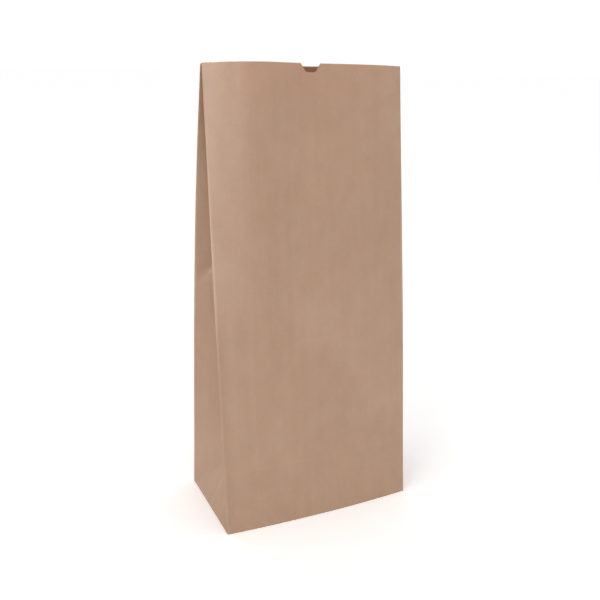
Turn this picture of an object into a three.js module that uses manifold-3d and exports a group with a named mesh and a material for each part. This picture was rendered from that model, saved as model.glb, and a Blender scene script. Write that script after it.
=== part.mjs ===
// A brown paper lunch bag with a flat, block bottom, standing open at its base with its mouth nearly shut.
// It is one sheet of kraft paper: a glued tube with a pressed fold down the middle of each side, whose
// lower end is folded into two flaps and two tucks and glued shut. Millimetres, +Z up, the front panel
// faces -Y, and the origin is the middle of the underside.
import * as THREE from "three";
import { mergeVertices } from "three/addons/utils/BufferGeometryUtils.js";
import Module from "manifold-3d";

const wasm = await Module();
wasm.setup();

// Driving dimensions of the sheet.
const WIDTH = 150; // front and back panels, fold to fold
const DEPTH = 82; // side panels, fold to fold
const LENGTH = 330.4; // up the paper from the base to the lip, a little more than the standing height
const PAPER = 0.12; // thickness of the sheet
const TURN = 0.15; // half the room that the paper takes to turn back at a pressed fold
const SEAM_WIDTH = 12; // glued lap down the back
const FLAP_LAP = 10; // how far each bottom flap passes the middle
const LIP_GAP = 2.6; // between the front and back folds at the corners of the mouth

// The thumb notch in the front lip, and the teeth that the cutting knife leaves along every lip.
const NOTCH_TOP = 14.6;
const NOTCH_BOTTOM = 7.4;
const NOTCH_DEPTH = 6;
const NOTCH_CORNER = 1.6;
const TOOTH_PITCH = 2;
const TOOTH_HEIGHT = 0.5;
const BACK_LIP_DROP = 1.8; // the back lip is lower in its middle

// How the standing bag is bent: sizes in millimetres, heights as shares of the paper's length.
const BACK_BELLY = 6.6; // the back folds stand this far behind a straight line to the mouth
const BACK_PILLOW = 4; // and the back panel's middle stands this far behind its folds
const FRONT_TWIST = 1.8; // the left front fold sinks and the right one swells by this much
const BASE_BOW = 2; // the front of the base is this much convex,
const BASE_FADE = 0.3; // up to this height
const LIP_BOW = 6; // the front lip bows forward by this much,
const LIP_BULGE = 10.5; // and its left part swells by this much more,
const BULGE_MIDDLE = 0.22; // round this share of the width,
const BULGE_SPREAD = 0.14; // over this share of it,
const BULGE_EDGE = 0.06; // clear of the fold by this share
const LIP_FADE = 0.1; // from this height up
const LIP_ARCH = 0.5; // the front lip is cut this much higher in its middle
const BACK_LIP_BOW = 9; // the back lip bows backward,
const BACK_FADE = 0.55; // from this height up
const TUCK_POINT = 0.11; // height of the point where a side panel's folds meet
const SIDE_BOW = 0.75; // how far a side panel is a round bow instead of a sharp fold,
const SIDE_BOW_RISE = 0.16; // once it is this far above the tuck point
const BUCKLE = 0.545; // height, at the outer folds, of the ridge where a side panel snaps inward
const BUCKLE_SPAN = 0.03; // height that the snap takes
const BUCKLE_RISE = 18; // the ridge is this much higher in the middle of the panel,
const BUCKLE_RISE_SPREAD = 0.12; // and the rows near it rise too

const HALF_WIDTH = WIDTH / 2;
const HALF_DEPTH = DEPTH / 2;
const SIDE_STEPS = 4; // columns across half a side panel, and rows up to the tuck point
const LEAN_STEPS = 24; // pieces that a column is measured in
const LEAST_MITRE = 0.6; // a skin's corner is never pushed out further than this share allows
const TOP_SPARE = 1; // the tube is made this much too tall, and the knife trims it
const KNIFE_RISE = 5; // the knife reaches this far above the lip

const mix = (a, b, t) => a + (b - a) * t;
const clamp = (t) => Math.min(1, Math.max(0, t));
const smooth = (t) => clamp(t) ** 2 * (3 - 2 * clamp(t));
const bell = (t) => Math.exp(-(t ** 2));

// Y of the outer folds at height share h: side -1 is left and 1 is right.
function frontFold(h, side) {
  const straight = mix(-HALF_DEPTH, -LIP_GAP / 2, h);
  return straight - side * FRONT_TWIST * Math.sin(Math.PI * h) ** 2 * (1 - h / 2);
}

function backFold(h) {
  return mix(HALF_DEPTH, LIP_GAP / 2, h) + BACK_BELLY * Math.sin(Math.PI * h ** 1.3);
}

// Y of the front panel at share u of its width, from the left: straight between its folds, with the
// base's bow fading upward and the lip's bow and swelling fading downward.
function frontPanel(u, h) {
  const straight = mix(frontFold(h, -1), frontFold(h, 1), u);
  const across = 1 - Math.abs(2 * u - 1) ** 3;
  const swelling = bell((u - BULGE_MIDDLE) / BULGE_SPREAD) * smooth(u / BULGE_EDGE);
  const lip = smooth((h - LIP_FADE) / (1 - LIP_FADE));
  const base = smooth(1 - h / BASE_FADE);
  return straight - base * BASE_BOW * across - lip * (LIP_BOW * across + LIP_BULGE * swelling);
}

// Y of the back panel at share u of its width, from the left.
function backPanel(u, h) {
  const across = 1 - (2 * u - 1) ** 2;
  const belly = BACK_PILLOW * Math.sin(Math.PI * h) ** 2;
  return backFold(h) + across * (belly + BACK_LIP_BOW * smooth((h - BACK_FADE) / (1 - BACK_FADE)));
}

// The side panel's cross-section at height share h. Its paper is as wide as the bag is deep, so where
// the outer folds come nearer each other its middle goes inward. Below the tuck point a flat triangle
// leans inward between two creased flanks; above it the panel is a soft bow, and above the buckle a
// sharp fold. Each point is [share of the way back, share of the full inward reach].
function sideShape(h, chord) {
  const flank = clamp(h / TUCK_POINT);
  const flankChord = flank < 1 ? 1 - (DEPTH * (1 - flank)) / chord : 1;
  const below = smooth((BUCKLE + BUCKLE_SPAN - h) / BUCKLE_SPAN);
  const bowed = SIDE_BOW * smooth((h - TUCK_POINT) / SIDE_BOW_RISE) * below;
  const half = [];
  for (let i = 0; i <= SIDE_STEPS; i += 1) {
    const w = i / SIDE_STEPS;
    const onFlank = w <= flank && flank > 0;
    const along = onFlank ? (flankChord * w) / flank : mix(flankChord, 1, (w - flank) / (1 - flank || 1));
    const creased = onFlank ? w / flank : 1;
    half.push([along / 2, mix(creased, Math.sin((Math.PI / 2) * creased), bowed)]);
  }
  const rest = half.slice(0, -1).reverse();
  return [...half, ...rest.map(([along, reach]) => [1 - along, reach])];
}

// Length of a cross-section with the given chord and inward reach.
function sectionLength(shape, chord, reach) {
  let length = 0;
  for (let i = 1; i < shape.length; i += 1) {
    length += Math.hypot((shape[i][0] - shape[i - 1][0]) * chord, (shape[i][1] - shape[i - 1][1]) * reach);
  }
  return length;
}

// The inward reach that gives a cross-section the paper's own width.
function inwardReach(shape, chord) {
  let low = 0;
  let high = HALF_DEPTH;
  for (let step = 0; step < 40; step += 1) {
    const middle = (low + high) / 2;
    if (sectionLength(shape, chord, middle) < DEPTH) low = middle;
    else high = middle;
  }
  return (low + high) / 2;
}

// Height of a point of the leaning paper, h of the way up a column whose depth is y(h): each short
// piece of the column rises by what is left of its length after its step forward or back.
function standing(y, h) {
  const piece = (h * LENGTH) / LEAN_STEPS;
  let height = 0;
  for (let i = 0; i < LEAN_STEPS; i += 1) {
    const step = y((h * (i + 1)) / LEAN_STEPS) - y((h * i) / LEAN_STEPS);
    height += Math.sqrt(piece ** 2 - step ** 2);
  }
  return height;
}

// Heights of the front and back lips at x, cut in a shallow curve.
const lipCurve = (x, rise) => rise * (1 - (x / HALF_WIDTH) ** 2);
const frontLip = (x) => standing((h) => frontPanel(x / WIDTH + 0.5, h), 1) + lipCurve(x, LIP_ARCH);
const backLip = (x) => standing((h) => backPanel(x / WIDTH + 0.5, h), 1) - lipCurve(x, BACK_LIP_DROP);

// One side panel's points at a row, from front to back: side -1 is left and 1 is right. Rows near the
// buckle rise toward the panel's middle, so that the ridge runs along one of them.
function sidePanel(h, spare, side) {
  const front = frontFold(h, side);
  const chord = backFold(h) - front;
  const shape = sideShape(h, chord);
  const reach = inwardReach(shape, chord);
  const rise = BUCKLE_RISE * bell((h - BUCKLE) / BUCKLE_RISE_SPREAD);
  const frontHeight = standing((t) => frontFold(t, side), h) + spare;
  const backHeight = standing(backFold, h) + spare;
  return shape.map(([along, inward]) => {
    const z = mix(frontHeight, backHeight, along) + rise * (1 - Math.abs(2 * along - 1));
    return new THREE.Vector3(side * (HALF_WIDTH - inward * reach), front + along * chord, z);
  });
}

// The three points of a pressed fold at p, between the neighbours before and after it. The paper turns
// back over twice TURN, so the layers of a fold that is pressed flat never meet.
function fold(before, p, after) {
  const a = before.clone().sub(p).setZ(0).normalize();
  const b = after.clone().sub(p).setZ(0).normalize();
  const apart = a.clone().sub(b);
  const halfAngle = Math.asin(Math.min(1, apart.length() / 2));
  const across = apart.normalize();
  const into = new THREE.Vector3(-across.y, across.x, 0);
  if (into.dot(a) + into.dot(b) < 0) into.negate();
  const inward = into.multiplyScalar(TURN * Math.min(1, 1 / Math.tan(halfAngle)));
  const first = p.clone().add(inward).addScaledVector(across, TURN);
  const last = p.clone().add(inward).addScaledVector(across, -TURN);
  return [first, p, last];
}

// Shares of the half width at which the front and back panels have columns.
const FRONT_COLUMNS = [-0.93, -0.84, -0.74, -0.64, -0.53, -0.42, -0.3, -0.18, 0, 0.25, 0.5, 0.75, 0.92];
const LAP = SEAM_WIDTH / WIDTH;
const LAP_STEP = 0.001;
const BACK_COLUMNS = [0.92, 0.7, 0.45, 0.2, LAP + LAP_STEP, LAP, -LAP, -LAP - LAP_STEP, -0.2, -0.45, -0.7, -0.92];

// The middle of the paper's thickness around one row, anticlockwise from the left front fold, as a
// list of points and the thickness outside each of them.
function ring(h, spare) {
  const right = sidePanel(h, spare, 1);
  const left = sidePanel(h, spare, -1).reverse();
  const panel = (columns, y) =>
    columns.map((c) => {
      const column = (t) => y((c + 1) / 2, t);
      return new THREE.Vector3(c * HALF_WIDTH, column(h), standing(column, h) + spare);
    });
  const front = panel(FRONT_COLUMNS, frontPanel);
  const back = panel(BACK_COLUMNS, backPanel);
  const folds = new Set([left.at(-1), right[0], right[SIDE_STEPS], right.at(-1), left[0], left[SIDE_STEPS]]);
  const loop = [left.at(-1), ...front, ...right, ...back, ...left.slice(0, -1)];
  const lapped = new Set(back.filter((p) => Math.abs(p.x) <= LAP * HALF_WIDTH + 1e-9));
  const points = [];
  loop.forEach((p, i) => {
    const before = loop[(i + loop.length - 1) % loop.length];
    const after = loop[(i + 1) % loop.length];
    const placed = folds.has(p) ? fold(before, p, after) : [p];
    points.push(...placed.map((q) => ({ at: q, outside: lapped.has(p) ? 1.5 * PAPER : 0.5 * PAPER })));
  });
  return points;
}

// The points of a ring moved sideways, square to the paper: outward for a positive distance.
function moved(points, distance) {
  return points.map((point, i) => {
    const before = points[(i + points.length - 1) % points.length].at;
    const after = points[(i + 1) % points.length].at;
    const a = new THREE.Vector3().subVectors(point.at, before).setZ(0).normalize();
    const b = new THREE.Vector3().subVectors(after, point.at).setZ(0).normalize();
    const normal = new THREE.Vector3(a.y + b.y, -a.x - b.x, 0).normalize();
    const mitre = Math.max(LEAST_MITRE, normal.x * a.y - normal.y * a.x);
    return point.at.clone().addScaledVector(normal, distance(point) / mitre);
  });
}

// Heights of the rows, as shares: even up to the tuck point, so that the creases to the base's corners
// run through the columns, then closer together at the buckle.
function rowHeights() {
  const rows = [];
  for (let i = 0; i <= SIDE_STEPS; i += 1) rows.push((TUCK_POINT * i) / SIDE_STEPS);
  rows.push(0.18, 0.27, 0.38, 0.47, 0.52, BUCKLE, BUCKLE + 0.03, 0.66, 0.75, 0.84, 0.92, 1);
  return rows;
}

// The paper tube as one closed wall: an outer and an inner skin, joined at the mouth and at the base.
function tube() {
  const rows = rowHeights();
  const rings = rows.map((h) => ring(h, h === 1 ? TOP_SPARE : 0));
  const outer = rings.map((points) => moved(points, (point) => point.outside));
  const inner = rings.map((points) => moved(points, () => -0.5 * PAPER)).reverse();
  const skins = [...outer, ...inner];
  const count = rings[0].length;
  const positions = skins.flat().flatMap((p) => [p.x, p.y, p.z]);
  const index = [];
  skins.forEach((_, row) => {
    const next = (row + 1) % skins.length;
    const onOuter = row < rows.length;
    for (let i = 0; i < count; i += 1) {
      const j = (i + 1) % count;
      const middle = skins[row][i].y + skins[row][j].y;
      const towardFront = skins[row][i].x * middle > 0;
      const corners = [row * count + i, row * count + j, next * count + j, next * count + i];
      const turned = towardFront === onOuter ? corners : [...corners.slice(1), corners[0]];
      index.push(turned[0], turned[1], turned[2], turned[0], turned[2], turned[3]);
    }
  });
  const geometry = new THREE.BufferGeometry();
  geometry.setAttribute("position", new THREE.Float32BufferAttribute(positions, 3));
  geometry.setIndex(index);
  return geometry;
}

// A flat layer of paper in the base, from an outline of [x, y] points.
function layer(outline, bottom, top) {
  const shape = new THREE.Shape(outline.map(([x, y]) => new THREE.Vector2(x, y)));
  const geometry = new THREE.ExtrudeGeometry(shape, { depth: top - bottom, bevelEnabled: false });
  return geometry.translate(0, 0, bottom);
}

// The base's folded layers, outermost first: the back flap, the front flap, which it overlaps, and the
// tucked ends of the side panels. The flaps' ends are folded at 45 degrees from the base's corners.
function baseLayers() {
  const reach = HALF_DEPTH + FLAP_LAP;
  const nearEdge = FRONT_COLUMNS.map((c) => [c * HALF_WIDTH, frontPanel((c + 1) / 2, 0)]);
  const farEdge = BACK_COLUMNS.map((c) => [c * HALF_WIDTH, HALF_DEPTH]);
  const corner = (sideways, back) => [sideways * HALF_WIDTH, back * HALF_DEPTH];
  const end = (sideways, back) => [sideways * (HALF_WIDTH - reach), -back * FLAP_LAP];
  const backFlap = [corner(1, 1), ...farEdge, corner(-1, 1), end(-1, 1), end(1, 1)];
  const frontFlap = [corner(-1, -1), ...nearEdge, corner(1, -1), end(1, -1), end(-1, -1)];
  const tuck = (side) => {
    const inner = HALF_WIDTH - reach;
    return [corner(side, -1), corner(side, 1), [side * inner, HALF_DEPTH], [side * inner, -HALF_DEPTH]];
  };
  return [
    layer(backFlap, 0, PAPER),
    layer(frontFlap, PAPER, 2 * PAPER),
    layer(tuck(-1), 2 * PAPER, 3 * PAPER),
    layer(tuck(1), 2 * PAPER, 3 * PAPER),
  ];
}

// A block that cuts along Y between two depths, from an outline of [x, z] points.
function cutter(outline, from, to) {
  const shape = new THREE.Shape(outline.map(([x, z]) => new THREE.Vector2(x, z)));
  const geometry = new THREE.ExtrudeGeometry(shape, { depth: to - from, bevelEnabled: false });
  return geometry.rotateX(Math.PI / 2).translate(0, to, 0);
}

// The knife over a lip between two depths: its lower edge is a row of teeth along the lip's height.
function knife(lip, from, to) {
  const edge = [];
  const count = Math.ceil(HALF_WIDTH / TOOTH_PITCH + 1) * 2;
  for (let i = -count; i <= count; i += 1) {
    const x = (i * TOOTH_PITCH) / 2;
    const onLip = Math.min(HALF_WIDTH, Math.max(-HALF_WIDTH, x));
    edge.push([x, lip(onLip) - (i % 2 ? TOOTH_HEIGHT : 0)]);
  }
  const top = LENGTH + KNIFE_RISE;
  return cutter([...edge, [edge.at(-1)[0], top], [edge[0][0], top]], from, to);
}

// The thumb notch's outline: slanting sides and a flat bottom with rounded corners.
function notch() {
  const lip = frontLip(0);
  const top = lip + KNIFE_RISE;
  const floor = lip - NOTCH_DEPTH;
  const shape = new THREE.Shape();
  shape.moveTo(-NOTCH_TOP / 2, top);
  shape.lineTo(-NOTCH_TOP / 2, lip);
  shape.lineTo(-NOTCH_BOTTOM / 2 - NOTCH_CORNER / 2, floor + NOTCH_CORNER);
  shape.quadraticCurveTo(-NOTCH_BOTTOM / 2, floor, -NOTCH_BOTTOM / 2 + NOTCH_CORNER, floor);
  shape.lineTo(NOTCH_BOTTOM / 2 - NOTCH_CORNER, floor);
  shape.quadraticCurveTo(NOTCH_BOTTOM / 2, floor, NOTCH_BOTTOM / 2 + NOTCH_CORNER / 2, floor + NOTCH_CORNER);
  shape.lineTo(NOTCH_TOP / 2, lip);
  shape.lineTo(NOTCH_TOP / 2, top);
  const points = shape.getPoints(4).map((p) => [p.x, p.y]);
  return cutter(points, -HALF_DEPTH, 0);
}

// A closed mesh as a solid that can be joined and cut.
function solid(geometry) {
  geometry.deleteAttribute("normal");
  geometry.deleteAttribute("uv");
  const merged = mergeVertices(geometry, 1e-4);
  const vertProperties = new Float32Array(merged.attributes.position.array);
  const triVerts = new Uint32Array(merged.index.array);
  return new wasm.Manifold(new wasm.Mesh({ numProp: 3, vertProperties, triVerts }));
}

// The geometry of a solid.
function geometryOf(body) {
  const mesh = body.getMesh();
  const geometry = new THREE.BufferGeometry();
  geometry.setAttribute("position", new THREE.BufferAttribute(mesh.vertProperties, 3));
  geometry.setIndex(new THREE.BufferAttribute(mesh.triVerts, 1));
  geometry.computeVertexNormals();
  return geometry;
}

function paperBag() {
  let body = solid(tube());
  for (const sheet of baseLayers()) body = body.add(solid(sheet));
  body = body.subtract(solid(knife(frontLip, -HALF_DEPTH, 0)));
  body = body.subtract(solid(knife(backLip, 0, HALF_DEPTH)));
  body = body.subtract(solid(notch()));
  const kraft = new THREE.MeshStandardMaterial({ color: 0xb3947d, roughness: 0.85, metalness: 0 });
  const mesh = new THREE.Mesh(geometryOf(body), kraft);
  mesh.name = "paper_bag";
  return mesh;
}

const bag = new THREE.Group();
bag.add(paperBag());

export default bag;
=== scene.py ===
"""A brown paper lunch bag, standing open at its flat bottom with its mouth nearly shut.

The whole bag is one folded sheet. Its wall is worked out row by row as the closed line that the middle
of the paper makes at each height, then given the paper's thickness; the glued flaps and tucks of the
bottom are thin plates below it. Metres, +Z up, the front panel faces -Y.
"""

import math

import bpy
import numpy as np
from mathutils import Matrix, Vector


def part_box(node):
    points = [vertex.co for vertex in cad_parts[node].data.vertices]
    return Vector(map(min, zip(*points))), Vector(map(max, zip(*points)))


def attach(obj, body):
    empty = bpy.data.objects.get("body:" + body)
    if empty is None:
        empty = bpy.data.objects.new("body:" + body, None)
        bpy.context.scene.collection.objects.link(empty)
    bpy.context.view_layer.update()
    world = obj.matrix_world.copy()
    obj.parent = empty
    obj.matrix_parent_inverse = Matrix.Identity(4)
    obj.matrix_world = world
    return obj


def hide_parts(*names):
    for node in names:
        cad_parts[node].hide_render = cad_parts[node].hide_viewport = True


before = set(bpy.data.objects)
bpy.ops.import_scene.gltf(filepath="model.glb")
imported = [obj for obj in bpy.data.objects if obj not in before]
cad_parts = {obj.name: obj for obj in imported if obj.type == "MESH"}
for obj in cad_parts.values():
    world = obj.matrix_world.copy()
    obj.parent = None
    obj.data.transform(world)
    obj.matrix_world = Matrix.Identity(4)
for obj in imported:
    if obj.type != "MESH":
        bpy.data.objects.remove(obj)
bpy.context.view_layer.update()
NODE = "paper_bag"
BODY = "root"
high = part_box(NODE)[1]

MM = 0.001
PAPER = 0.12 * MM
HALF_WIDTH = high[0] - PAPER / math.sqrt(2)  # the box holds the paper's half thickness at the corners
HALF_DEPTH = high[1] - 1.5 * PAPER  # and the glued lap down the back
HEIGHT = high[2]
LEAN_LOSS = 0.9 * MM  # the tallest part of the front panel stands this much lower than its paper is long
LENGTH = HEIGHT + LEAN_LOSS  # of the paper, from the base to the lip
WIDTH = 2 * HALF_WIDTH
DEPTH = 2 * HALF_DEPTH

# Folds and edges.
TURN = 0.17 * MM  # half the room that the paper takes to turn back at a pressed fold
FOLD_EASE = 0.02  # waves and bends fade out over this share of the width at a fold
MITRE_LEAST = 0.6  # a sharp corner of the skin is drawn out by 1 / 0.6 at most
SEAM_WIDTH = 12 * MM
FLAP_LAP = 10 * MM  # how far each bottom flap reaches past the middle
LIP_GAP = 2.6 * MM
LIP_CUT_SPAN = 24 * MM  # the rows give way to the cuts in the lip over this height
TOOTH_PITCH = 2 * MM
TOOTH_HEIGHT = 0.5 * MM
NOTCH_TOP = 14.6 * MM
NOTCH_BOTTOM = 7.4 * MM
NOTCH_DEPTH = 6 * MM
NOTCH_CORNER = 1.6 * MM
LIP_ARCH = 0.7 * MM  # the front lip is cut this much higher in its middle
BACK_LIP_DROP = 1.8 * MM  # and the back lip this much lower

# Bends of the front panel. Places and runs are shares of its width or of its height.
FRONT_TWIST = 1.8 * MM
BASE_BOW = 2 * MM
BASE_FADE = 0.3  # the base's bow is gone at this height
LIP_BOW = 18 * MM  # how far the lip would stand out if it didn't fall again
LIP_BOW_RUN = 0.15  # its rise from the left fold fades over this run
LIP_SLANT = 0.66  # it falls by this share of itself before the middle
LIP_SLANT_START = 0.12
LIP_SLANT_RUN = 0.36
LIP_FADE = 0.3  # the lip's bow starts at this height
PILLOW = 3.8 * MM  # how far a pillow pushes out the middle of the panel
PILLOW_PLACE = 0.42
PILLOW_SPREAD = 0.3
ROLL = 2.6 * MM  # how far the panel swells out before it rolls back to its right fold
ROLL_RUN = 0.3
ROLL_PLACE = 0.45
ROLL_SPREAD = 0.27
DIP = 0.7 * MM  # a shallow trough beside the left fold
DIP_PLACE = 0.045
DIP_SPREAD = 0.03
DIP_START = 0.06
DIP_TOP = 0.6
DIP_FADE = 0.2
BOTTOM_CREASE = 46 * MM  # where the flat bottom was folded up against the panel
BOTTOM_CREASE_DEPTH = 0.6 * MM
BOTTOM_CREASE_FADE = 1.6

# Bends of the back panel.
BACK_BELLY = 6.6 * MM
BACK_MIDDLE_BELLY = 4 * MM
BACK_LIP_BOW = 9 * MM
BACK_FADE = 0.55

# Bends of the side panels.
TUCK_POINT = 0.11  # the height share at which the flat triangle over the tuck ends in a point
CREASE_ROUND = 0.12
SOFTNESS = 0.75  # the share of a sine in the panel's bow, between the tuck point and the buckle
SOFT_RUN = 0.16
BUCKLE = 0.545  # the height share of the buckle, where the panel turns from a bow to a straight fold
BUCKLE_EDGE = 0.03
BUCKLE_RISE = 28 * MM  # how far its ridge climbs from the outer folds to the centre fold
BUCKLE_SPREAD = 0.12
RIPPLE = 0.5 * MM
RIPPLE_LENGTH = 15 * MM
RIPPLE_FADE = 0.2
SWELL = 0.5  # the panel folds in less deeply just below its buckle, by this share
SWELL_START = 14 * MM  # it sets in over this height
SWELL_FADE = 75 * MM  # and fades below it over this one
SWELL_CENTRE = 0.4  # the part of it that is left at the centre fold

# Worn folds with a painted highlight at mid-height, and the glued lap's painted shade and edge shadow.
PALE_FOLD_WIDTH = 0.9 * MM
WORN_LEAST = 0.25  # away from the painted highlight's height a fold is this pale from wear, against 1 there
# the painted highlight along the folds is strongest at this height share, and spreads this far
HIGHLIGHT_PLACE = 0.58
HIGHLIGHT_SPREAD = 0.15
PRESSED_PALE = 0.06  # the bottom crease is only faintly paler
LAP_TONE = 0.3
LAP_EDGE = 0.5 * MM

# How finely the sheet is divided.
EVEN_ROWS = 56
REACH_ROWS = 500
REACH_COLUMNS = 161
HALVINGS = 40  # of the room in which a side panel's reach is sought
PLATE_ROWS = 25
FLAP_COLUMNS = 61
TUCK_COLUMNS = 31


def smooth(t):
    """0 below 0, 1 above 1, and three t squared less two t cubed between them."""
    t = np.clip(t, 0, 1)
    return t * t * (3 - 2 * t)


def bump(t):
    """A bell of height 1 at t = 0, e to the power of minus t squared."""
    return np.exp(-(t**2))


def soft_least(a, b, rounding):
    """The lesser of two values, with the corner where they meet rounded."""
    return (a + b - np.sqrt((a - b) ** 2 + rounding**2)) / 2


def lean_loss(up, across):
    """How much lower each row of the leaning paper stands than its distance up the sheet: the sum, row
    by row, of the step up the paper less the root of that step squared less the step sideways squared."""
    rise, sway = np.diff(up, axis=0), np.diff(across, axis=0)
    lost = rise - np.sqrt(np.maximum(rise**2 - sway**2, 0))
    return np.concatenate([np.zeros_like(up[:1]), np.cumsum(lost, axis=0)])


# ---------------------------------------------------------------- the sheet's shape


def front_fold(h, side):
    """Y of a front outer fold at height share h: a straight line to the mouth, with a little twist."""
    straight = -HALF_DEPTH + (HALF_DEPTH - LIP_GAP / 2) * h
    return straight - side * FRONT_TWIST * np.sin(math.pi * h) ** 2 * (1 - h / 2)


def back_fold(h):
    """Y of the back outer folds: a straight line to the mouth and a belly behind it."""
    return HALF_DEPTH - (HALF_DEPTH - LIP_GAP / 2) * h + BACK_BELLY * np.sin(math.pi * h**1.3)


def undulation(along, up):
    """The slow waves of handled paper: three crossed and bent sine waves, 7 to 15 cm long and each
    0.1 mm high or less."""
    first = np.sin(along / (17 * MM) + 1.3 * np.sin(up / (41 * MM)))
    second = np.sin(up / (23 * MM) + 0.9 * np.sin(along / (29 * MM)) + 2)
    third = np.sin((along + 0.6 * up) / (12 * MM) + 4)
    return 0.09 * MM * (first + second + 0.6 * third)


def between_folds(u):
    """1 over a wide panel and 0 at its folds: a smooth step at each end."""
    return smooth(u / FOLD_EASE) * smooth((1 - u) / FOLD_EASE)


def front_panel(u, h):
    """Y of the front panel at share u of its width.

    A straight line between its folds, plus the base's bow, fading upward, and the lip's bow, fading
    downward. The lip's bow rises from the left fold as 1 less a decaying exponential, falls by a share
    of itself toward the middle in a smooth step, and closes on the right fold as 1 less u to the
    eighth. Then come the bend at the bottom crease, a tent that is sharp at the crease, a dip beside
    the left fold, the slow waves, a pillow that is a sine across and a bell up the panel, and a swell
    that grows to the right and then rolls back to the right fold.
    """
    straight = front_fold(h, -1) + (front_fold(h, 1) - front_fold(h, -1)) * u
    across = 1 - np.abs(2 * u - 1) ** 3
    slant = 1 - LIP_SLANT * smooth((u - LIP_SLANT_START) / LIP_SLANT_RUN)
    lip = LIP_BOW * ((1 - np.exp(-u / LIP_BOW_RUN)) * slant * (1 - u**8))
    lip = lip * smooth((h - LIP_FADE) / (1 - LIP_FADE))
    base = smooth(1 - h / BASE_FADE)
    crease = h * LENGTH / BOTTOM_CREASE
    tent = np.where(crease < 1, crease, np.exp(-(crease - 1) / BOTTOM_CREASE_FADE))
    pillow = PILLOW * np.sin(math.pi * u) * bump((h - PILLOW_PLACE) / PILLOW_SPREAD)
    roll = ROLL * smooth((1 - u) / ROLL_RUN) * smooth(u / (1 - ROLL_RUN))
    roll = roll * bump((h - ROLL_PLACE) / ROLL_SPREAD)
    dip = DIP * bump((u - DIP_PLACE) / DIP_SPREAD)
    dip = dip * smooth((DIP_TOP - h) / DIP_FADE) * smooth(h / DIP_START)
    bends = BOTTOM_CREASE_DEPTH * tent + dip + undulation(u * WIDTH, h * LENGTH) - pillow - roll
    return straight - base * BASE_BOW * across - lip + between_folds(u) * bends


def back_panel(u, h):
    """Y of the back panel at share u of its width: its folds' line, a parabola across that stands out
    by a sine squared up the panel and by a smooth step at the mouth, and the slow waves."""
    across = 1 - (2 * u - 1) ** 2
    belly = BACK_MIDDLE_BELLY * np.sin(math.pi * h) ** 2
    mouth = BACK_LIP_BOW * smooth((h - BACK_FADE) / (1 - BACK_FADE))
    waves = undulation(u * WIDTH + 1, h * LENGTH)
    return back_fold(h) + across * (belly + mouth) + between_folds(u) * waves


def side_shape(w, h, chord):
    """Where a side panel's paper is at share w of its own width, at height share h.

    Gives the share of the chord between the outer folds, and the share of the full inward reach.
    Below the tuck point the middle is a flat triangle between two creased flanks. Above it the panel
    is a soft bow, a mix of a sine and a straight fold, and above the buckle it is a straight fold.
    """
    q = 1 - np.abs(2 * w - 1)
    flank = np.clip(h / TUCK_POINT, 1e-6, 1)
    flank_chord = np.clip(1 - DEPTH * (1 - flank) / chord, 0, 1)
    on_flank = q <= flank
    middle = (q - flank) / np.maximum(1 - flank, 1e-6)
    along = np.where(on_flank, flank_chord * q / flank, flank_chord + (1 - flank_chord) * middle)
    creased = np.clip(soft_least(q / flank, 1.0, CREASE_ROUND), 0, 1)
    bowed = SOFTNESS * smooth((h - TUCK_POINT) / SOFT_RUN) * smooth((BUCKLE + BUCKLE_EDGE - h) / BUCKLE_EDGE)
    inward = creased + bowed * (np.sin(math.pi / 2 * creased) - creased)
    return np.where(w < 0.5, along / 2, 1 - along / 2), inward


def inward_reach(side):
    """The reach that keeps a side panel's paper its own width, as a table over height share.

    At each height the length of the section grows with the reach, so the reach is found by halving.
    The table runs a little past the lip.
    """
    h = np.linspace(0, 1.01, REACH_ROWS)[:, None]
    chord = back_fold(h) - front_fold(h, side)
    along, inward = side_shape(np.linspace(0, 1, REACH_COLUMNS)[None, :], h, chord)
    steps = np.diff(along * chord, axis=1), np.diff(inward, axis=1)
    least, most = np.zeros_like(h), np.full_like(h, HALF_DEPTH)
    for _ in range(HALVINGS):
        reach = (least + most) / 2
        short = np.hypot(steps[0], steps[1] * reach).sum(axis=1, keepdims=True) < DEPTH
        least, most = np.where(short, reach, least), np.where(short, most, reach)
    return h[:, 0], least[:, 0]


def side_panel(w, z, side):
    """Points of a side panel: the section at each height, with its rows lifted toward the middle near
    the buckle so that the ridge of the buckle slants up from both folds. Just below the buckle the
    panel is swollen: its reach is less by a share that fades downward as an exponential. The ripples
    are one sine across times one sine up the panel."""
    h = z / LENGTH
    heights, reaches = inward_reach(side)
    reach = np.interp(h, heights, reaches)
    front_loss = np.interp(h, heights, lean_loss(heights * LENGTH, front_fold(heights, side)))
    back_loss = np.interp(h, heights, lean_loss(heights * LENGTH, back_fold(heights)))
    front = front_fold(h, side)
    chord = back_fold(h) - front
    along, inward = side_shape(w, h, chord)
    rise = BUCKLE_RISE * bump((h - BUCKLE) / BUCKLE_SPREAD) * (1 - np.abs(2 * along - 1))
    ripple = RIPPLE * np.sin(w * 9 + 1) * np.sin(z / RIPPLE_LENGTH + 5 * w)
    ripple = ripple * smooth((BUCKLE - h) / RIPPLE_FADE)
    between_creases = smooth(inward / 0.2) * smooth((1 - inward) / 0.1)
    below = (BUCKLE - h) * LENGTH
    swell = SWELL * smooth(below / SWELL_START) * np.exp(-np.clip(below, 0, None) / SWELL_FADE)
    centre = smooth((inward - 0.45) / 0.4)
    swell *= smooth((h - TUCK_POINT) / 0.1) * (1 - (1 - SWELL_CENTRE) * centre)
    reach = reach * (1 - swell)
    x = side * (HALF_WIDTH - inward * reach - between_creases * ripple * smooth(h / TUCK_POINT))
    lost = front_loss + (back_loss - front_loss) * along
    return np.stack([x, front + along * chord, z + rise - lost], axis=-1)


# ---------------------------------------------------------------- rows and columns


def teeth(x):
    """How far the knife's teeth cut below the lip at x: a triangle wave."""
    phase = np.abs(x / TOOTH_PITCH - np.round(x / TOOTH_PITCH))
    return 2 * TOOTH_HEIGHT * phase


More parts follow.
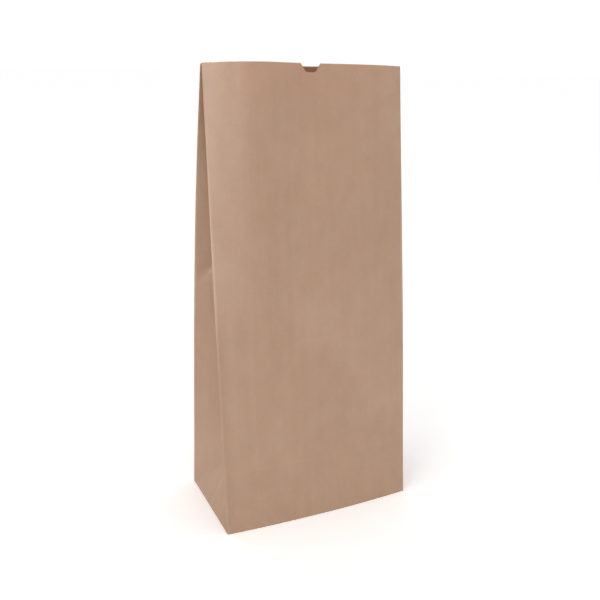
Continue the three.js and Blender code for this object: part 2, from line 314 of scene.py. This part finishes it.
def notch_cut(x):
    """How far the thumb notch cuts below the lip at x: slanting sides, rounded into a flat bottom."""
    run = (NOTCH_TOP / 2 - np.abs(x)) / ((NOTCH_TOP - NOTCH_BOTTOM) / 2)
    slope = NOTCH_DEPTH * run
    t = np.clip(0.5 + 0.5 * (NOTCH_DEPTH - slope) / NOTCH_CORNER, 0, 1)
    rounded = NOTCH_DEPTH * (1 - t) + slope * t - NOTCH_CORNER * t * (1 - t)
    return np.clip(rounded, 0, None)


def lip_curve(x, rise):
    """The shallow curve that a lip is cut in: a parabola, 0 at the folds."""
    return rise * (1 - (x / HALF_WIDTH) ** 2)


def row_heights():
    """Distances of the rows up the sheet: 6 mm apart, closer at the base, over the tucks, and at the
    bottom crease, the buckle and the lip. Rows that fall almost together are thinned."""
    even = np.linspace(0, LENGTH, EVEN_ROWS)
    tuck = np.arange(1.5, 38, 1.5) * MM
    base = np.array([0.4, 1, 2]) * MM
    crease = BOTTOM_CREASE + np.array([-1.2, -0.4, 0, 0.4, 1.2]) * MM
    buckle = LENGTH * BUCKLE + np.array([-18, -14, -10, -7, -4, -1.5, 0, 3, 6, 10]) * MM
    lip = LENGTH - np.array([7.5, 5, 2.5, 1.2, 0.4]) * MM
    rows = np.sort(np.concatenate([even, base, tuck, crease, buckle, lip]))
    return rows[np.append(True, np.diff(rows) > 0.3 * MM)]


def panel_x():
    """X of a wide panel's columns: half a tooth apart."""
    count = int(round(WIDTH / TOOTH_PITCH)) * 2
    return np.linspace(-HALF_WIDTH, HALF_WIDTH, count + 1)[1:-1]


def front_x():
    """The front's columns, closer together at the notch's slanting sides, from 2 to 7.6 mm off the
    middle. Columns that fall almost together are thinned."""
    near = np.arange(2.2, 7.6, 0.4) * MM
    edges = np.concatenate([panel_x(), near, -near, [-NOTCH_TOP / 2, NOTCH_TOP / 2]])
    edges = np.sort(edges)
    return edges[np.append(True, np.diff(edges) > 0.08 * MM)]


def back_x():
    """The back's columns, with a pair 0.03 mm apart at each edge of the glued lap, where they take the
    place of any column that is nearer than 0.2 mm."""
    lap = np.array([-1, 1]) * SEAM_WIDTH / 2
    pairs = np.concatenate([lap, lap * 1.005])
    kept = panel_x()
    kept = kept[np.abs(np.abs(kept) - SEAM_WIDTH / 2) > 0.2 * MM]
    return np.sort(np.concatenate([kept, pairs]))[::-1]


def side_w():
    """A side panel's columns, as shares of its width: half a tooth apart."""
    count = int(round(DEPTH / TOOTH_PITCH))
    half = np.linspace(0, 0.5, count + 1)
    return np.concatenate([half, 1 - half[-2::-1]])


def lowered(rows, cut):
    """Heights of the points: the rows, with the top ones pressed down by each column's cut, as the
    square of how far up the cut's span they are."""
    share = np.clip((rows[:, None] - (LENGTH - LIP_CUT_SPAN)) / LIP_CUT_SPAN, 0, 1)
    return rows[:, None] - share**2 * cut[None, :]


def wide_panel(x, rows, shape, cut):
    """Points of the front or back panel on the grid of rows and columns."""
    up = lowered(rows, cut)
    across = np.broadcast_to(x[None, :], up.shape)
    y = shape(across / WIDTH + 0.5, up / LENGTH)
    return np.stack([across, y, up - lean_loss(up, y)], axis=-1)


def folded_side(rows, side):
    """Points of a side panel on the grid, front to back."""
    w = side_w()
    x = HALF_WIDTH - (1 - np.abs(2 * w - 1)) * HALF_DEPTH
    z = lowered(rows, teeth(x))
    return side_panel(np.broadcast_to(w[None, :], z.shape), z, side)


def pressed_fold(before, p, after):
    """The three columns of a pressed fold at p: the paper turns back over twice TURN, across the line
    that halves the angle between its neighbours."""
    flat = np.array([1.0, 1.0, 0.0])
    a, b = (before - p) * flat, (after - p) * flat
    a /= np.linalg.norm(a, axis=-1, keepdims=True)
    b /= np.linalg.norm(b, axis=-1, keepdims=True)
    apart = a - b
    length = np.linalg.norm(apart, axis=-1, keepdims=True)
    across = apart / length
    half_angle = np.arcsin(np.clip(length / 2, 0, 1))
    into = np.stack([-across[..., 1], across[..., 0], np.zeros(len(across))], axis=-1)
    into *= np.where(((a + b) * into).sum(axis=-1, keepdims=True) < 0, -1, 1)
    into *= np.minimum(1, 1 / np.tan(half_angle))
    return [p + TURN * (into + across), p, p + TURN * (into - across)]


def sheet_loop(rows):
    """The middle of the paper round the whole bag, anticlockwise from the left front fold.

    Gives the points on the grid of rows and columns, the paper's thickness outside each column, and
    1 for each column of a pressed fold or 0 for any other.
    """
    across = front_x()
    behind = back_x()
    front_cut = teeth(across) + notch_cut(across) - lip_curve(across, LIP_ARCH)
    back_cut = teeth(behind) + lip_curve(behind, BACK_LIP_DROP)
    front = wide_panel(across, rows, front_panel, front_cut)
    back = wide_panel(behind, rows, back_panel, back_cut)
    right, left = folded_side(rows, 1), folded_side(rows, -1)[:, ::-1]
    loop = np.concatenate([left[:, -1:], front, right, back, left[:, :-1]], axis=1)
    count = right.shape[1]
    start_right = 1 + front.shape[1]
    start_back = start_right + count
    start_left = start_back + back.shape[1]
    folds = {0, start_left, start_left + count // 2}
    folds |= {start_right, start_right + count // 2, start_back - 1}
    columns, outside, fold = [], [], []
    for j in range(loop.shape[1]):
        p = loop[:, j]
        in_lap = start_back <= j < start_left and abs(behind[j - start_back]) <= SEAM_WIDTH / 2 + 1e-9
        placed = [p]
        if j in folds:
            placed = pressed_fold(loop[:, j - 1], p, loop[:, (j + 1) % loop.shape[1]])
        columns += placed
        outside += [1.5 * PAPER if in_lap else 0.5 * PAPER] * len(placed)
        fold += [float(j in folds)] * len(placed)
    return np.stack(columns, axis=1), np.array(outside), np.array(fold)


def moved(points, distance):
    """The grid's points moved sideways, square to the paper and outward for a positive distance."""
    flat = np.array([1.0, 1.0, 0.0])
    a = (points - np.roll(points, 1, axis=1)) * flat
    b = (np.roll(points, -1, axis=1) - points) * flat
    a /= np.linalg.norm(a, axis=-1, keepdims=True)
    b /= np.linalg.norm(b, axis=-1, keepdims=True)
    normal = np.stack([a[..., 1] + b[..., 1], -a[..., 0] - b[..., 0], np.zeros(a.shape[:2])], axis=-1)
    normal /= np.linalg.norm(normal, axis=-1, keepdims=True)
    mitre = np.clip(normal[..., 0] * a[..., 1] - normal[..., 1] * a[..., 0], MITRE_LEAST, None)
    return points + normal * (distance / mitre)[..., None]


# ---------------------------------------------------------------- meshes


def new_piece(name, points, faces, uv, crease, lap, material):
    """A mesh piece from arrays: points, faces of four corners, each corner's place on the flat sheet,
    and at each point how pale its worn folds with their painted highlight are, and the lap's painted shade."""
    mesh = bpy.data.meshes.new(name)
    mesh.from_pydata(points.tolist(), [], faces.tolist())
    flat_sheet = mesh.uv_layers.new(name="sheet")
    flat_sheet.uv.foreach_set("vector", uv.astype(np.float32).ravel())
    for kind, values in (("crease", crease), ("lap", lap)):
        attribute = mesh.attributes.new(kind, "FLOAT", "POINT")
        attribute.data.foreach_set("value", values.astype(np.float32).ravel())
    mesh.shade_smooth()
    mesh.set_sharp_from_angle(angle=math.radians(50))
    mesh.materials.append(material)
    piece = bpy.data.objects.new(name, mesh)
    bpy.context.scene.collection.objects.link(piece)
    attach(piece, BODY)
    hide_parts(NODE)
    return piece


def fold_wear_and_highlight(skins, rows, start, step, fold):
    """How pale each point of the wall is: a bell across each pressed fold, pale from wear all along it
    with a painted highlight added round mid-height, and a faint bell across the bottom crease of the
    front panel.

    start and step are each column's place round the sheet and its distance to the next column.
    """
    nearness = np.zeros(len(start))
    for k in np.flatnonzero(fold):
        gap = np.abs(start - start[k])
        nearness = np.maximum(nearness, bump(np.minimum(gap, step.sum() - gap) / PALE_FOLD_WIDTH))
    level = np.concatenate([rows, rows[::-1]])[:, None]
    on_front = (skins[..., 1] < front_fold(skins[..., 2] / HEIGHT, 0) + 6 * MM).astype(float)
    pressed = bump((level - BOTTOM_CREASE) / PALE_FOLD_WIDTH) * on_front
    # Wear all along each fold, with a painted highlight added round mid-height.
    wear_and_highlight = WORN_LEAST + (1 - WORN_LEAST) * bump((level / LENGTH - HIGHLIGHT_PLACE) / HIGHLIGHT_SPREAD)
    return np.maximum(nearness[None, :] * wear_and_highlight, PRESSED_PALE * pressed)


def lap_shade(skins):
    """Painted shade on the wall: a little over the glued lap, where less light soaks through the
    double paper, on the outer skin only, with a painted shadow as a bell along the lap's free edge."""
    x, y = skins[..., 0], skins[..., 1]
    # Painted shade over the lap and a painted shadow along its free edge.
    in_lap = (np.abs(x) < SEAM_WIDTH / 2) & (y > back_fold(skins[..., 2] / LENGTH) - 1 * MM)
    edge = bump((x - SEAM_WIDTH / 2) / LAP_EDGE) * (y > 0)
    shade = np.maximum(LAP_TONE * in_lap, edge)
    shade[len(shade) // 2 :] = 0
    return shade


def wall(material):
    """The bag's wall: the outer skin from the base to the lip and the inner skin back down, closed
    over the lip and under the base. The sheet's own U is the distance round the bag at the base, and
    its V is the height."""
    rows = row_heights()
    middle, outside, fold = sheet_loop(rows)
    outer = moved(middle, np.broadcast_to(outside, middle.shape[:2]))
    inner = moved(middle, np.full(middle.shape[:2], -0.5 * PAPER))[::-1]
    skins = np.concatenate([outer, inner])
    count, columns = skins.shape[:2]
    i, j = np.meshgrid(np.arange(count), np.arange(columns), indexing="ij")
    up, right = (i + 1) % count, (j + 1) % columns
    corners = [i * columns + j, i * columns + right, up * columns + right, up * columns + j]
    faces = np.stack(corners, axis=-1)
    step = np.linalg.norm(np.roll(middle[0], -1, axis=0) - middle[0], axis=-1)
    start = np.cumsum(step) - step
    u = np.stack([start[j], start[j] + step[j], start[j] + step[j], start[j]], axis=-1)
    v = np.stack([skins[i, j, 2], skins[i, right, 2], skins[up, right, 2], skins[up, j, 2]], axis=-1)
    uv = np.stack([u, v], axis=-1)
    # The inner skin's faces start one corner on, so that both skins are split along the same diagonals.
    half = len(rows)
    faces[half:], uv[half:] = np.roll(faces[half:], -1, axis=2), np.roll(uv[half:], -1, axis=2)
    crease = fold_wear_and_highlight(skins, rows, start, step, fold)
    points, faces = skins.reshape(-1, 3), faces.reshape(-1, 4)
    return new_piece("folded_wall", points, faces, uv, crease, lap_shade(skins), material)


def plate(name, near, far, bottom, material):
    """A glued layer of the bottom: a closed plate one paper thick, straight between two edges that are
    lists of points, with its upper face over its lower one."""
    along = np.linspace(0, 1, PLATE_ROWS)[:, None, None]
    flat = near[None] * (1 - along) + far[None] * along
    levels = [np.dstack([flat, np.full(flat.shape[:2], z)]) for z in (bottom, bottom + PAPER)]
    skins = np.concatenate([levels[0], levels[1][::-1]])
    count, columns = skins.shape[:2]
    i, j = np.meshgrid(np.arange(count), np.arange(columns - 1), indexing="ij")
    up = (i + 1) % count
    corners = [i * columns + j, up * columns + j, up * columns + j + 1, i * columns + j + 1]
    faces = np.stack(corners, axis=-1).reshape(-1, 4).tolist()
    k = np.arange(PLATE_ROWS - 1)
    for end, order in ((0, 1), (columns - 1, -1)):
        corners = [k * columns + end, (count - 1 - k) * columns + end]
        corners += [(count - 2 - k) * columns + end, (k + 1) * columns + end]
        faces += np.stack(corners[::order], axis=-1).tolist()
    points = skins.reshape(-1, 3)
    faces = np.array(faces)
    uv = points[faces][..., :2]
    plain = np.zeros(len(points))
    return new_piece(name, points, faces, uv, plain, plain, material)


def bottom(material):
    """The folded bottom, outermost layer first: the back flap, the front flap under its edge, and the
    tucked ends of the side panels. The flaps' ends are folded at 45 degrees from the base's corners."""
    reach = HALF_DEPTH + FLAP_LAP
    share = np.linspace(-1, 1, FLAP_COLUMNS)
    short, long = share * (HALF_WIDTH - reach), share * HALF_WIDTH
    front_edge = np.stack([long, front_panel(share / 2 + 0.5, np.zeros_like(share))], axis=-1)
    back_edge = np.stack([long, np.full_like(share, HALF_DEPTH)], axis=-1)
    front_end = np.stack([short, np.full_like(share, FLAP_LAP)], axis=-1)
    back_end = np.stack([short, np.full_like(share, -FLAP_LAP)], axis=-1)
    plate("back_flap", back_end, back_edge, 0.0, material)
    plate("front_flap", front_edge, front_end, PAPER, material)
    for name, side in (("left_tuck", -1), ("right_tuck", 1)):
        across = np.sort(np.linspace(HALF_WIDTH - reach, HALF_WIDTH, TUCK_COLUMNS) * side)
        near = np.stack([across, np.full_like(across, -HALF_DEPTH)], axis=-1)
        far = np.stack([across, np.full_like(across, HALF_DEPTH)], axis=-1)
        plate(name, near, far, 2 * PAPER, material)


# ---------------------------------------------------------------- materials


class Shade:
    """A socket of a material's node tree, with arithmetic that adds Math nodes."""

    def __init__(self, tree, socket):
        self.tree = tree
        self.socket = socket

    def node(self, kind, settings=None, inputs=None, output=0):
        """Any node: its settings are set first, then its inputs, which are values or other sockets."""
        made = self.tree.nodes.new(kind)
        for key, value in (settings or {}).items():
            setattr(made, key, value)
        for key, value in (inputs or {}).items():
            if isinstance(value, Shade):
                self.tree.links.new(value.socket, made.inputs[key])
            else:
                made.inputs[key].default_value = value
        return Shade(self.tree, made.outputs[output])

    def math(self, operation, first, second=0.0):
        return self.node("ShaderNodeMath", {"operation": operation}, {0: first, 1: second})

    def __add__(self, other):
        return self.math("ADD", self, other)

    __radd__ = __add__

    def __mul__(self, other):
        return self.math("MULTIPLY", self, other)

    __rmul__ = __mul__

    def clamped(self):
        return self.node("ShaderNodeClamp", {}, {"Value": self})

    def ramp(self, start, end):
        """0 at start and 1 at end, straight between them."""
        spots = {"From Min": start, "From Max": end, "To Min": 0.0, "To Max": 1.0}
        return self.node("ShaderNodeMapRange", {"clamp": True}, {"Value": self, **spots})

    def mixed(self, first, second):
        """The colour first where this is 0 and second where it is 1."""
        settings = {"data_type": "RGBA", "blend_type": "MIX"}
        return self.node("ShaderNodeMix", settings, {0: self, 6: first, 7: second}, output=2)


def linear(red, green, blue):
    """A colour given as screen values from 0 to 255, as the linear values that a shader takes."""
    share = np.array([red, green, blue]) / 255
    curved = np.where(share <= 0.04045, share / 12.92, ((share + 0.055) / 1.055) ** 2.4)
    return (*curved.tolist(), 1.0)


KRAFT_DARK = linear(171, 136, 109)
KRAFT_LIGHT = linear(188, 155, 129)
KRAFT_FIBRE = linear(208, 180, 154)
# dark fibre flecks, also the colour of the glued lap's painted shade
KRAFT_FLECK_AND_SHADE = linear(137, 103, 79)
# pale worn folds, also the colour of the painted highlight along them
KRAFT_WORN_AND_HIGHLIGHT = linear(217, 191, 167)
RELIEF_HEIGHT = 0.05 * MM
SOAK_DEPTH = 0.3 * MM  # how far light soaks into the sheet


def kraft_paper():
    """Brown kraft paper: a warm base, cloudy where the fibres settled unevenly, with faint streaks along
    the machine direction, short pale and dark fibres, paler worn folds with a painted highlight at
    mid-height, painted shade over the glued lap with a painted shadow along its edge, and a fine
    fibrous relief. A little light soaks through the sheet."""
    material = bpy.data.materials.new("brown_kraft")
    material.use_nodes = True
    tree = material.node_tree
    shader = tree.nodes["Principled BSDF"]
    any_node = Shade(tree, None)
    place = any_node.node("ShaderNodeUVMap", {"uv_map": "sheet"})

    def noise(across, along, detail=2.0, rough=0.5, distortion=0.0):
        """Noise with that many grains a metre across and along the sheet, from 0 to 1."""
        scale = {"Vector": place, "Scale": (across, along, 1.0)}
        stretched = any_node.node("ShaderNodeMapping", {"vector_type": "POINT"}, scale)
        inputs = {"Vector": stretched, "Scale": 1.0, "Detail": detail, "Roughness": rough}
        inputs["Distortion"] = distortion
        return any_node.node("ShaderNodeTexNoise", {"noise_dimensions": "2D"}, inputs)

    patch = noise(18, 12, 2.0, 0.5, 0.6)
    cloud = noise(90, 60, 4.0, 0.6)
    streak = noise(210, 4, 3.0, 0.55)
    grain = noise(2600, 1500, 3.0, 0.7)
    pale_fibre = noise(1700, 420, 2.0, 0.5, 0.6).ramp(0.6, 0.72)
    dark_fibre = noise(900, 700, 2.0, 0.5, 0.8).ramp(0.66, 0.76)
    crease = any_node.node("ShaderNodeAttribute", {"attribute_name": "crease"}, output=2)
    lap = any_node.node("ShaderNodeAttribute", {"attribute_name": "lap"}, output=2)

    tone = patch * 0.32 + cloud * 0.2 + streak * 0.1 + grain * 0.38
    colour = tone.ramp(0.3, 0.7).mixed(KRAFT_DARK, KRAFT_LIGHT)
    colour = (pale_fibre * 0.12).mixed(colour, KRAFT_FIBRE)
    colour = (dark_fibre * 0.16).mixed(colour, KRAFT_FLECK_AND_SHADE)
    # Paler folds: wear, with a painted highlight at mid-height.
    colour = (crease * 0.5).clamped().mixed(colour, KRAFT_WORN_AND_HIGHLIGHT)
    # Painted shade over the glued lap and a painted shadow along its free edge.
    colour = (lap * 0.4).mixed(colour, KRAFT_FLECK_AND_SHADE)
    tree.links.new(colour.socket, shader.inputs["Base Color"])
    roughness = 0.34 + 0.12 * grain + 0.1 * crease
    tree.links.new(roughness.socket, shader.inputs["Roughness"])
    relief = grain + streak * 0.2 + pale_fibre * 0.4
    inputs = {"Height": relief, "Strength": 0.2, "Distance": RELIEF_HEIGHT}
    normal = any_node.node("ShaderNodeBump", {}, inputs)
    tree.links.new(normal.socket, shader.inputs["Normal"])
    shader.inputs["Specular IOR Level"].default_value = 0.8
    shader.subsurface_method = "RANDOM_WALK"
    shader.inputs["Subsurface Weight"].default_value = 1.0
    shader.inputs["Subsurface Radius"].default_value = (1.0, 0.62, 0.4)
    shader.inputs["Subsurface Scale"].default_value = SOAK_DEPTH
    return material


# ---------------------------------------------------------------- floor, light and camera

FLOOR_REACH = 40.0
FLOOR_LEVEL = -0.05 * MM  # just clear of the bag, so that their faces don't share a plane
FLOOR_WHITE = 0.9
FLOOR_LIFT = 1.38  # how much brighter the camera sees the floor
SURROUND = 0.8  # the strength of the light from all round
BACKDROP_WHITE = 1.05  # the strength that the camera sees behind the bag
CAMERA_TURN = math.radians(25.24)  # the camera looks this far to the right of straight back
CAMERA_TILT = math.radians(17.4)  # and this far down
CAMERA_ROLL = math.radians(-1.07)
CAMERA_DISTANCE = 1.7131  # from the point that it looks at, in heights of the bag


def floor():
    """A wide, plain, white floor just under the bag. The camera sees it brighter than the light that it
    throws back up at the bag, so that it shows as white as the backdrop."""
    mesh = bpy.data.meshes.new("studio_floor")
    turns = ((-1, -1), (1, -1), (1, 1), (-1, 1))
    corners = [(x * FLOOR_REACH, y * FLOOR_REACH, FLOOR_LEVEL) for x, y in turns]
    mesh.from_pydata(corners, [], [(0, 1, 2, 3)])
    material = bpy.data.materials.new("white_floor")
    material.use_nodes = True
    tree = material.node_tree
    tree.nodes.remove(tree.nodes["Principled BSDF"])
    any_node = Shade(tree, None)
    seen = any_node.node("ShaderNodeLightPath")
    thrown_back, shown = [(value, value, value, 1.0) for value in (FLOOR_WHITE, FLOOR_WHITE * FLOOR_LIFT)]
    matt = any_node.node("ShaderNodeBsdfDiffuse", {}, {"Color": seen.mixed(thrown_back, shown)})
    tree.links.new(matt.socket, tree.nodes["Material Output"].inputs["Surface"])
    mesh.materials.append(material)
    piece = bpy.data.objects.new("studio_floor", mesh)
    bpy.context.scene.collection.objects.link(piece)


def softbox(name, turn, height, distance, size, power):
    """A square soft light that looks at the bag's middle from an angle round it, counted from straight
    in front toward the left, and an angle up."""
    turn, height = math.radians(turn), math.radians(height)
    level = math.cos(height)
    toward = Vector((-math.sin(turn) * level, -math.cos(turn) * level, math.sin(height)))
    light = bpy.data.lights.new(name, "AREA")
    light.shape = "SQUARE"
    light.size = size
    light.energy = power
    lamp = bpy.data.objects.new(name, light)
    lamp.location = Vector((0, 0, HEIGHT / 2)) + toward * distance
    lamp.rotation_euler = toward.to_track_quat("Z", "Y").to_euler()
    bpy.context.scene.collection.objects.link(lamp)


def lights():
    """An even surround that the camera sees as white, and three weak softboxes: a low one in front, one
    between the front and the left, and a higher one at the left."""
    world = bpy.data.worlds.new("studio")
    world.use_nodes = True
    tree = world.node_tree
    background = tree.nodes["Background"]
    background.inputs["Color"].default_value = (1, 1, 1, 1)
    seen = Shade(tree, None).node("ShaderNodeLightPath")
    strength = SURROUND + seen * (BACKDROP_WHITE - SURROUND)
    tree.links.new(strength.socket, background.inputs["Strength"])
    bpy.context.scene.world = world
    softbox("front_softbox", 15, 10, 2.0, 0.9, 4)
    softbox("left_front_softbox", 50, 15, 2.0, 0.6, 7)
    softbox("left_softbox", 78, 35, 2.0, 0.9, 3)


def camera():
    """A camera a little above the mouth, turned to the left front corner."""
    aim = Vector((-0.00339, 0, 0.48165)) * HEIGHT
    sine, cosine, level = math.sin(CAMERA_TURN), math.cos(CAMERA_TURN), math.cos(CAMERA_TILT)
    forward = Vector((sine * level, cosine * level, -math.sin(CAMERA_TILT)))
    right = Vector((cosine, -sine, 0))
    up = right.cross(forward)
    turned_right = right * math.cos(CAMERA_ROLL) - up * math.sin(CAMERA_ROLL)
    turned_up = right * math.sin(CAMERA_ROLL) + up * math.cos(CAMERA_ROLL)
    data = bpy.data.cameras.new("camera")
    data.sensor_width = 36
    data.lens = 45
    data.clip_start = 0.01
    made = bpy.data.objects.new("camera", data)
    turn = Matrix((turned_right, turned_up, -forward)).transposed()
    made.matrix_world = Matrix.Translation(aim - forward * CAMERA_DISTANCE * HEIGHT) @ turn.to_4x4()
    bpy.context.scene.collection.objects.link(made)
    bpy.context.scene.camera = made


kraft = kraft_paper()
wall(kraft)
bottom(kraft)
floor()
lights()
camera()
bpy.context.scene.view_settings.view_transform = "Standard"
